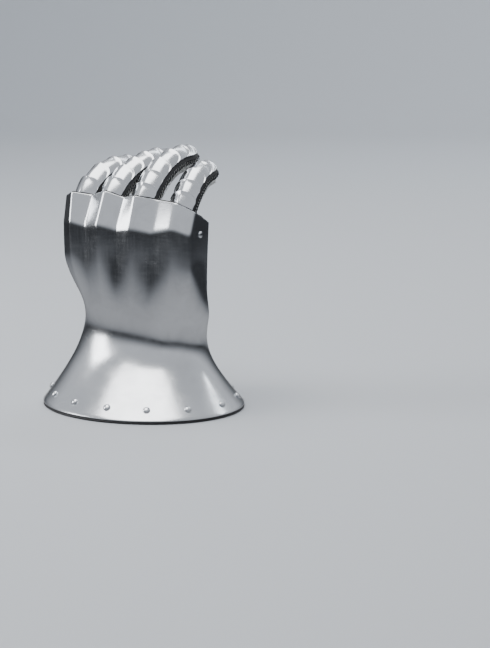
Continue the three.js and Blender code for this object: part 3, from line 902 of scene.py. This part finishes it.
def dome_profile(radius, height, base, steps=8):
    """A domed head: a small upright edge, then an arc to its crown."""
    arc = [(radius * math.cos(turn), base + 0.25 + (height - 0.25) * math.sin(turn))
           for turn in np.linspace(0, math.radians(86), steps)]
    return [(radius * 0.97, base), *arc]


# ---------------------------------------------------------------- operators


def materials():
    """The finishes, made once and shared by the pieces."""
    if "Plate Steel" not in bpy.data.materials:
        roughness = bpy.context.scene.gauntlet_steel.roughness
        steel_material("Plate Steel", roughness, 0.5 * MM)
        steel_material("Lame Steel", roughness * 0.95, 0.25 * MM)
        steel_material("Rivet Steel", roughness * 0.8, 0.1 * MM)
        black_leather_material("Black Leather")
        glove_material("Glove Leather")
        thread_material("Black Thread", (0.02, 0.02, 0.022))
        thread_material("Pale Thread", (0.62, 0.61, 0.57))
    return bpy.data.materials


class GAUNTLET_OT_plate(bpy.types.Operator):
    """Makes the one-piece steel plate of cuff, hand and knuckles"""

    bl_idname = "gauntlet.plate"
    bl_label = "Hand Plate"

    def execute(self, context):
        surface = PlateSurface(PLATE_COLUMNS, PLATE_RISES, context.scene.gauntlet_steel.softness)
        plate = wall("hand_plate_steel", surface.points, surface.at_depth(STEEL), closed=True,
                     cells=surface.cells(), edge=0.4)
        finish_piece(plate, materials()["Plate Steel"], ["hand_plate"])
        return {"FINISHED"}


class GAUNTLET_OT_lining(bpy.types.Operator):
    """Makes the leather band inside the cuff, with its rolled lower edge"""

    bl_idname = "gauntlet.lining"
    bl_label = "Cuff Lining"

    def execute(self, context):
        rises = np.linspace(-1, -0.56, 14)
        surface = PlateSurface(PLATE_COLUMNS, rises)
        outside = surface.at_depth(STEEL + GAP)
        inside = surface.at_depth(STEEL + GAP + LINING)
        rim = PlateSurface(PLATE_COLUMNS, np.array([-1, -0.98]))
        roll = []
        for depth, height in ((1.2, 1.75), (0.55, 1.3), (0.5, 0.6), (1.0, 0.1), (1.8, 0), (3.0, 0), (3.8, 0.15),
                              (4.1, 0.9)):
            ring = rim.at_depth(depth)[0]
            ring[:, 2] = height
            roll.append(ring)
        loop = np.concatenate([outside[::-1][:-1], np.array(roll), inside[1:]])
        loop += waves(loop, 22, 3)[..., None] * 0.06
        rows, columns = loop.shape[:2]
        faces = []
        for row in range(rows):
            for column in range(columns):
                after, above = (column + 1) % columns, (row + 1) % rows
                faces.append([row * columns + column, row * columns + after,
                              above * columns + after, above * columns + column])
        loop[..., 2] = np.maximum(loop[..., 2], 0)
        band = mesh_object("cuff_lining_leather", loop, faces)
        outward_faces(band)
        finish_piece(band, materials()["Black Leather"], ["cuff_lining"])
        return {"FINISHED"}


class GAUNTLET_OT_trims(bpy.types.Operator):
    """Makes the leathers along the knuckle edge and the thumb arch"""

    bl_idname = "gauntlet.trims"
    bl_label = "Knuckle and Thumb Leathers"

    def execute(self, context):
        black = materials()["Black Leather"]
        columns = PLATE_COLUMNS[PLATE_COLUMNS <= LAST_GUIDE]
        surface = PlateSurface(columns, finely([1.35, 2], [12]), 1)
        up = surface.points[-1] - surface.points[-2]
        up /= np.linalg.norm(up, axis=-1, keepdims=True)
        ragged = 1.25 + 0.3 * waves(surface.points[-1], 7, 11)
        grids = []
        for depth in (STEEL + GAP, STEEL + GAP + TRIM_LEATHER):
            inside = surface.at_depth(depth)
            grids.append(np.concatenate([inside, (inside[-1] + up * ragged[:, None])[None]]))
        knuckle = wall("knuckle_edge_leather", *grids, edge=0.2)
        finish_piece(knuckle, black, ["knuckle_leather"])
        arch = wall("thumb_edge_leather", *arch_grids(), edge=0.25)
        finish_piece(arch, black, ["thumb_arch_leather"])
        return {"FINISHED"}


ARCH_RISES = np.linspace(0.42, 1.3, 90)


def arch_grids():
    """Outer and inner points of the leather along the thumb arch. Its free edge is cut a little unevenly."""
    surface = PlateSurface(np.array([0, 0.25, 0.5]), ARCH_RISES)
    grids = []
    reaches = np.linspace(-1, 1, 18)
    for depth in (STEEL + GAP, STEEL + GAP + TRIM_LEATHER):
        edge, near = np.moveaxis(surface.at_depth(depth)[:, :2], 1, 0)
        inward = (near - edge) / np.linalg.norm(near - edge, axis=-1, keepdims=True)
        free = 8.8 + 0.5 * waves(edge, 9, 21)
        reach = np.where(reaches[None, :] < 0, reaches[None, :] * free[:, None], reaches[None, :] * 6)
        grids.append(edge[:, None] + inward[:, None] * reach[..., None])
    return grids


class GAUNTLET_OT_lames(bpy.types.Operator):
    """Makes the small overlapping plates of every finger and the thumb"""

    bl_idname = "gauntlet.lames"
    bl_label = "Finger Lames"

    def execute(self, context):
        keel = context.scene.gauntlet_steel.keel / MM
        for digit in DIGITS:
            for number in range(digit.lames):
                name = f"{digit.name}_lame_{number + 1}"
                lame = wall(f"{name}_steel", *lame_grids(digit, number, keel), edge=0.22)
                finish_piece(lame, materials()["Lame Steel"], [name])
        return {"FINISHED"}


class GAUNTLET_OT_straps(bpy.types.Operator):
    """Makes the leather strap that carries each digit's lames"""

    bl_idname = "gauntlet.straps"
    bl_label = "Finger Straps"

    def execute(self, context):
        for order, digit in enumerate(DIGITS):
            distance = np.append(np.linspace(digit.start - 1, digit.length - 8, 60),
                                 np.linspace(digit.length - 7.5, digit.length - 4, 12))[:, None]
            across = np.linspace(-1, 1, 31)[None, :]
            angle = across * strap_width(digit, distance)
            bare = digit.surface(distance, angle, LAYER_GAP)
            uneven = waves(bare, 6, 31 + order) * 0.35 * np.abs(across) ** 6
            curl = 0.5 * np.abs(across) ** 8
            angle = angle + np.degrees(uneven / digit.half_width) * np.sign(across)
            grids = [digit.surface(distance, angle, LAYER_GAP + curl + side * STRAP) for side in (1, 0)]
            strap = wall(f"strap_{digit.name}_leather", *grids, edge=0.3)
            finish_piece(strap, materials()["Black Leather"], [f"strap_{digit.name}"])
        return {"FINISHED"}


def glove_solids():
    """Closed tubes for the glove's hand and digits, as (points, faces), before they are blended together."""
    sections = np.array(GLOVE_SECTIONS, float)
    heights = np.linspace(sections[0, 0] - 4, sections[-1, 0], 50)
    table = [np.interp(heights, sections[:, 0], sections[:, column])[:, None] for column in range(1, 5)]
    x, y, half_width, half_depth = table
    turn = np.linspace(0, 2 * math.pi, 64, endpoint=False)[None, :]
    across = half_width * np.sign(np.cos(turn)) * np.abs(np.cos(turn)) ** 0.8
    deep = half_depth * np.sign(np.sin(turn)) * np.abs(np.sin(turn)) ** 0.8
    fall = 0.09 * smooth(heights, 90, 130)[:, None]
    hand = np.stack([x + across, y + deep, heights[:, None] - fall * across], -1)
    solids = [(hand, tube_faces(*hand.shape[:2]))]
    angles = np.linspace(0, 360, 32, endpoint=False)[None, :]
    for digit in DIGITS:
        straight = np.linspace(GLOVE_ROOT - 4, digit.length - digit.half_depth, 60)
        turn = np.linspace(0, math.pi / 2 * 0.96, 9)[1:]
        distance = np.append(straight, digit.length - digit.half_depth * (1 - np.sin(turn)))[:, None]
        scale = np.append(np.ones(len(straight)), np.cos(turn))[:, None]
        tube = digit.surface(distance, angles, 0, scale)
        solids.append((tube, tube_faces(*tube.shape[:2])))
    return solids


def nearest_on_digits(points):
    """For each point: the nearest digit's number, its distance along it, and its angle from the back."""
    best = np.full(len(points), np.inf)
    found = np.zeros((len(points), 3))
    for number, digit in enumerate(DIGITS):
        centres = digit.centres[::2]
        gaps = np.linalg.norm(points[:, None] - centres[None], axis=-1)
        nearest = gaps.argmin(1)
        gap = gaps[np.arange(len(points)), nearest] / digit.half_width
        offset = points - centres[nearest]
        out = (offset * digit.outward[::2][nearest]).sum(1)
        side = (offset * digit.side[::2][nearest]).sum(1)
        closer = gap < best
        best[closer] = gap[closer]
        found[closer, 0] = number
        found[closer, 1] = digit.distances[::2][nearest][closer]
        found[closer, 2] = np.degrees(np.arctan2(side, out))[closer]
    return found, best


def glove_folds(points):
    """How far the glove's leather moves out, in millimetres.

    It has folds at the joints, puckered seams and soft waves.
    """
    found, gap = nearest_on_digits(points)
    distance, angle = found[:, 1], found[:, 2]
    lengths = np.array([digit.length for digit in DIGITS])[found[:, 0].astype(int)]
    on_digit = smooth(gap, 1.3, 1.02) * smooth(distance, -4, 6)
    palm = smooth(np.abs(angle), 50, 120)
    move = np.zeros(len(points))
    for share, depth, width in ((0.12, 0.8, 1.9), (0.3, 1.0, 1.8), (0.36, 0.6, 1.5), (0.6, 1.1, 1.8), (0.68, 0.6, 1.5),
                                (0.84, 0.5, 1.4)):
        wander = 1.6 * np.sin(np.radians(angle) * 2 + share * 40) + 1.2 * waves(points, 16, int(share * 100))
        move -= on_digit * palm * depth * np.exp(-((distance - share * lengths + wander) / width) ** 2)
    seam = np.exp(-((np.abs(angle) - 118) / 5) ** 2)
    move += on_digit * seam * (0.5 + 0.25 * np.sin(distance * 2.3))
    move += on_digit * 0.25 * waves(points, 8, 5)
    hand = 1 - on_digit
    slanted = points @ np.array([0.35, 0.2, 0.9])
    ripple = np.sin(slanted * 0.62 + 3.5 * waves(points, 60, 8))
    move += hand * (0.9 * waves(points, 34, 6) + 0.55 * ripple * smooth(waves(points, 45, 9), -0.3, 0.9))
    quirk = np.abs(points @ np.array([0.52, 0.68, -0.52]) - 20.5 + 2 * waves(points, 50, 4))
    near_thumb = smooth(points[:, 0], -8, -24) * smooth(points[:, 1], 2, 12)
    move -= hand * near_thumb * 0.9 * np.exp(-(quirk / 1.3) ** 2)
    return move - 0.25


class GAUNTLET_OT_glove(bpy.types.Operator):
    """Makes the hollow leather glove as one soft skin, open at the wrist"""

    bl_idname = "gauntlet.glove"
    bl_label = "Glove"

    def execute(self, context):
        settings = context.scene.gauntlet_glove
        points, faces, first = [], [], 0
        for solid, solid_faces in glove_solids():
            points.append(solid.reshape(-1, 3))
            faces.extend([[first + corner for corner in face] for face in solid_faces])
            first += len(points[-1])
        glove = mesh_object("glove_leather", np.concatenate(points), faces)
        outward_faces(glove)
        with_modifier(glove, "REMESH", mode="VOXEL", voxel_size=settings.voxel, adaptivity=0)
        with_modifier(glove, "SMOOTH", factor=0.5, iterations=6)
        mesh = glove.data
        co = np.zeros(len(mesh.vertices) * 3)
        normals = np.zeros(len(mesh.vertices) * 3)
        mesh.vertices.foreach_get("co", co)
        mesh.vertex_normals.foreach_get("vector", normals)
        co, normals = co.reshape(-1, 3), normals.reshape(-1, 3)
        co += normals * (glove_folds(co / MM) * MM)[:, None]
        mesh.vertices.foreach_set("co", co.ravel())
        mesh.update()
        form = bmesh.new()
        form.from_mesh(mesh)
        everything = [*form.verts, *form.edges, *form.faces]
        bmesh.ops.bisect_plane(form, geom=everything, plane_co=(0, 0, (GLOVE_SECTIONS[0][0] + 0.5) * MM),
                               plane_no=(0, 0, -1), clear_outer=True)
        form.to_mesh(mesh)
        form.free()
        with_modifier(glove, "SOLIDIFY", thickness=settings.wall, offset=-1)
        nodes = ["glove_hand", *(f"glove_{digit.name}" for digit in DIGITS)]
        finish_piece(glove, materials()["Glove Leather"], nodes)
        return {"FINISHED"}


def cuff_rivet_frames():
    """Points and directions of the cuff's rivets, equally spaced along the cuff."""
    angles = np.arange(0, 360.5, 0.5)
    ring = cuff_points(angles, CUFF_RIVETS["down"])
    lengths = np.append(0, np.cumsum(np.linalg.norm(np.diff(ring, axis=0), axis=1)))
    count = CUFF_RIVETS["count"]
    shares = (CUFF_RIVETS["start"] / 360 + np.arange(count) / count) % 1
    at = np.interp(shares * lengths[-1], lengths, angles)
    points = cuff_points(at, CUFF_RIVETS["down"])
    along = cuff_points(at + 1, CUFF_RIVETS["down"]) - cuff_points(at - 1, CUFF_RIVETS["down"])
    up = cuff_points(at, CUFF_RIVETS["down"] - 0.02) - cuff_points(at, CUFF_RIVETS["down"] + 0.02)
    return points, normals_of(along, up)


class GAUNTLET_OT_rivets(bpy.types.Operator):
    """Sets the rivets round the cuff and at the plate's free edges"""

    bl_idname = "gauntlet.rivets"
    bl_label = "Rivets"

    def execute(self, context):
        tree = rivet_tree()
        steel = materials()["Rivet Steel"]
        seed = context.scene.gauntlet_stitch.seed
        inside = -(STEEL + GAP + LINING + 0.35)
        shank = [(0, inside - 0.7), (1.6, inside - 0.7), (2.2, inside - 0.35), (2.2, inside), (1.2, inside)]
        whole = lathe("whole_rivet", [*shank, (1.2, 0.02), *dome_profile(2.9, 1.9, 0.02), (0, 1.95)])
        head = lathe("rivet_head", [(0, -0.5), (2.6, -0.5), *dome_profile(2.7, 1.5, -0.1), (0, 1.6)])
        points, outward = cuff_rivet_frames()
        single = [(points[k:k + 1], outward[k:k + 1]) for k in range(len(points))]
        cuff = path_object("cuff_rivets_steel", single)
        grown(cuff, tree, rivet=whole, size=1.0, seed=seed, material=steel)
        names = [f"cuff_rivet_{number + 1}" for number in range(CUFF_RIVETS["count"])]
        finish_piece(cuff, steel, names)
        frames = [plate_frame(column, rise) for column, rise in PLATE_RIVETS]
        plate = path_object("plate_rivets_steel", [(point[None], normal[None]) for point, normal in frames])
        grown(plate, tree, rivet=head, size=1.0, seed=seed + 1, material=steel)
        finish_piece(plate, steel)
        for source in (whole, head):
            bpy.data.objects.remove(source)
        return {"FINISHED"}


def strap_edge_paths(reach):
    """Paths along both edges of every strap, reach millimetres beyond the leather."""
    paths = []
    for digit in DIGITS:
        end = digit.length - 4
        distance = np.linspace(digit.start + 1, end - 0.6, 90)
        angle = strap_width(digit, distance) + math.degrees(reach / digit.half_width)
        for side in (-1, 1):
            points = digit.surface(distance, angle * side, LAYER_GAP + 0.35)
            order = slice(None, None, side)
            paths.append((points[order], digit.radial(distance, angle * side)[order]))
    return paths


def arch_edge_path():
    """The free edge of the thumb arch leather."""
    outer, inner = arch_grids()
    outward = outer[:, 1] - inner[:, 1]
    outward /= np.linalg.norm(outward, axis=-1, keepdims=True)
    inward = outer[:, 2] - outer[:, 0]
    inward /= np.linalg.norm(inward, axis=-1, keepdims=True)
    return outer[:, 0] + inward * 0.4 - outward * 0.3, outward


def seam_paths():
    """Paths of the seams along the palm side of each finger."""
    paths = []
    for digit in DIGITS:
        distance = np.linspace(2, digit.length - 7, 70)
        for side in (-1, 1):
            angle = np.full_like(distance, 118 * side)
            paths.append((digit.surface(distance, angle, 0.35), digit.radial(distance, angle)))
    return paths


class GAUNTLET_OT_stitches(bpy.types.Operator):
    """Sews the straps, the thumb leather and the glove's seams"""

    bl_idname = "gauntlet.stitches"
    bl_label = "Stitches"

    def execute(self, context):
        settings = context.scene.gauntlet_stitch
        tree = stitch_tree()
        black, pale = materials()["Black Thread"], materials()["Pale Thread"]
        whip = path_object("strap_stitches", strap_edge_paths(1.3))
        grown(whip, tree, spacing=settings.spacing, length=4.6 * MM, thread=settings.thread * 1.25, slant=0.95,
              seed=settings.seed, material=black)
        finish_piece(whip, black)
        arch = path_object("thumb_edge_stitches", [arch_edge_path()])
        grown(arch, tree, spacing=settings.spacing * 1.1, length=3.4 * MM, thread=settings.thread, slant=1.1,
              seed=settings.seed + 1, material=black)
        finish_piece(arch, black)
        seams = path_object("glove_seam_stitches", seam_paths())
        grown(seams, tree, spacing=2.4 * MM, length=1.9 * MM, thread=0.2 * MM, slant=0.5,
              seed=settings.seed + 2, material=pale)
        finish_piece(seams, pale)
        return {"FINISHED"}


# ---------------------------------------------------------------- stage


def floor_material():
    settings = bpy.context.scene.gauntlet_stage
    material, tree = new_material("Pale Floor")
    finish_material(tree, {"Base Color": (*settings.floor, 1), "Roughness": 0.6, "Specular IOR Level": 0.3})
    return material


# Ramp stops. The card's run with the distance from the gauntlet in metres, and the sky's with the
# height from straight down, 0, to straight up, 1.
CARD_GLOW = [
    (0.0, (0.6, 0.61, 0.63, 1)),
    (0.16, (0.5, 0.51, 0.53, 1)),
    (0.4, (0.27, 0.28, 0.3, 1)),
    (0.7, (0.06, 0.063, 0.07, 1)),
    (1.0, (0.03, 0.032, 0.036, 1)),
]
SKY_GLOW = [
    (0.0, (0.05, 0.052, 0.056, 1)),
    (0.5, (0.05, 0.052, 0.056, 1)),
    (0.58, (0.2, 0.21, 0.225, 1)),
    (0.72, (0.72, 0.74, 0.78, 1)),
    (1.0, (0.6, 0.62, 0.65, 1)),
]
FLOOR_REACH = 0.58
CARD_REACH = 1.6
COVE_START, COVE_RADIUS, COVE_TOP = 3.2, 1.6, 6
CENTRE = 0.0001  # a disc's innermost radius, just above nothing


def bounce_material():
    """The glow of the card that the steel mirrors in place of the floor: bright nearby, dark far off."""
    material, tree = new_material("Bounce Card")
    place = tree.node("ShaderNodeTexCoord").outputs["Object"]
    away = tree.value("ShaderNodeVectorMath", "Value", {"operation": "LENGTH"}, {0: place})
    grade = tree.node("ShaderNodeValToRGB", {"stops": CARD_GLOW}, {"Fac": away})
    glow = tree.node("ShaderNodeEmission", None, {"Color": grade.outputs[0], "Strength": 1.0})
    tree.node("ShaderNodeOutputMaterial", None, {"Surface": glow.outputs[0]})


def swept_disc(name, profile, sides=96, finish="Pale Floor"):
    """A surface of revolution about the Z axis from (radius, height) points, in metres."""
    rings = [[(radius * math.cos(turn) / MM, radius * math.sin(turn) / MM, height / MM)
              for turn in np.linspace(0, 2 * math.pi, sides, endpoint=False)] for radius, height in profile]
    faces = tube_faces(len(rings), sides)[:-2]
    obj = mesh_object(name, rings, faces)
    obj.data.polygons.foreach_set("use_smooth", [True] * len(obj.data.polygons))
    obj.data.materials.append(bpy.data.materials[finish])
    return obj


def soft_light(name, place, aim, size, power, tint=(1, 1, 1)):
    light = bpy.data.lights.new(name, "AREA")
    light.shape = "RECTANGLE"
    light.size, light.size_y = size
    light.energy = power
    light.color = tint
    obj = bpy.data.objects.new(name, light)
    obj.location = place
    obj.rotation_euler = (Vector(aim) - Vector(place)).to_track_quat("-Z", "Y").to_euler()
    obj.visible_camera = False
    bpy.context.scene.collection.objects.link(obj)


def studio_world():
    """A studio round the gauntlet: light above, dark below the height of the horizon."""
    world = bpy.data.worlds.new("Studio")
    world.use_nodes = True
    tree = Tree(world.node_tree)
    direction = tree.node("ShaderNodeTexCoord").outputs["Generated"]
    height = tree.node("ShaderNodeSeparateXYZ", None, {0: direction}).outputs["Z"]
    share = Value(tree, height) * 0.5 + 0.5
    grade = tree.node("ShaderNodeValToRGB", {"stops": SKY_GLOW}, {"Fac": share})
    back = tree.node("ShaderNodeBackground", None, {"Color": grade.outputs[0], "Strength": 1.0})
    tree.node("ShaderNodeOutputWorld", None, {"Surface": back.outputs[0]})
    bpy.context.scene.world = world


def studio_camera(settings):
    """Aims the camera to the right of the gauntlet and above its foot."""
    turn, down = settings.azimuth, settings.elevation
    right = Vector((math.cos(turn), math.sin(turn), 0))
    ahead = Vector((-math.sin(turn) * math.cos(down), math.cos(turn) * math.cos(down), -math.sin(down)))
    up = right.cross(ahead)
    aim = right * 0.0811 + up * 0.0632
    camera = bpy.data.cameras.new("Camera")
    camera.lens = 90.3
    camera.sensor_width = 36
    obj = bpy.data.objects.new("Camera", camera)
    axes = Matrix((right, up, -ahead)).transposed()
    obj.matrix_world = Matrix.Translation(aim - ahead * settings.distance) @ axes.to_4x4()
    bpy.context.scene.collection.objects.link(obj)
    bpy.context.scene.camera = obj


class GAUNTLET_OT_stage(bpy.types.Operator):
    """Sets the floor, the lights and the camera"""

    bl_idname = "gauntlet.stage"
    bl_label = "Stage"

    def execute(self, context):
        settings = context.scene.gauntlet_stage
        floor_material()
        ground = swept_disc("floor", [(CENTRE, 0), (0.2, 0), (FLOOR_REACH, 0)])
        ground.visible_glossy = False
        bounce_material()
        rings = [(radius, -0.002) for radius in (CENTRE, 0.5, CARD_REACH)]
        card = swept_disc("bounce_card", rings, finish="Bounce Card")
        card.visible_camera = card.visible_diffuse = card.visible_shadow = False
        bend = [(COVE_START + COVE_RADIUS * math.sin(turn), COVE_RADIUS - COVE_RADIUS * math.cos(turn))
                for turn in np.linspace(0, math.pi / 2, 14)]
        top = (COVE_START + COVE_RADIUS, COVE_TOP)
        cove = swept_disc("cove", [(FLOOR_REACH, 0), (1.2, 0), *bend, top])
        cove.visible_glossy = False
        studio_world()
        soft_light("overhead", (-0.3, -0.1, 1.9), (0, 0, 0.1), (1.8, 1.4), 38, (1, 0.99, 0.97))
        soft_light("left", (-1.7, -0.9, 0.9), (0, 0, 0.1), (0.9, 1.2), 22)
        soft_light("backdrop", (0.4, 2.2, 2.6), (0.2, 3.6, 0.6), (3.0, 1.6), 60, (0.93, 0.97, 1))
        studio_camera(settings)
        return {"FINISHED"}


OPERATORS = [
    GAUNTLET_OT_plate,
    GAUNTLET_OT_lining,
    GAUNTLET_OT_trims,
    GAUNTLET_OT_glove,
    GAUNTLET_OT_straps,
    GAUNTLET_OT_lames,
    GAUNTLET_OT_rivets,
    GAUNTLET_OT_stitches,
    GAUNTLET_OT_stage,
]


class GAUNTLET_PT_panel(bpy.types.Panel):
    """Lists the gauntlet's pieces and their settings"""

    bl_idname = "GAUNTLET_PT_panel"
    bl_label = "Gauntlet"
    bl_space_type = "VIEW_3D"
    bl_region_type = "UI"
    bl_category = "Gauntlet"

    def draw(self, context):
        layout = self.layout
        for name, group in SETTINGS.items():
            box = layout.box()
            box.label(text=group.__doc__)
            for key in group.__annotations__:
                box.prop(getattr(context.scene, name), key)
        for operator in OPERATORS:
            layout.operator(operator.bl_idname)


def register():
    for cls in (*SETTINGS.values(), *OPERATORS, GAUNTLET_PT_panel):
        bpy.utils.register_class(cls)
    for name, group in SETTINGS.items():
        setattr(bpy.types.Scene, name, bpy.props.PointerProperty(type=group))


def unregister():
    for name in SETTINGS:
        delattr(bpy.types.Scene, name)
    for cls in reversed((*SETTINGS.values(), *OPERATORS, GAUNTLET_PT_panel)):
        bpy.utils.unregister_class(cls)


def main():
    register()
    for operator in OPERATORS:
        family, name = operator.bl_idname.split(".")
        getattr(getattr(bpy.ops, family), name)()


if __name__ == "__main__":
    main()
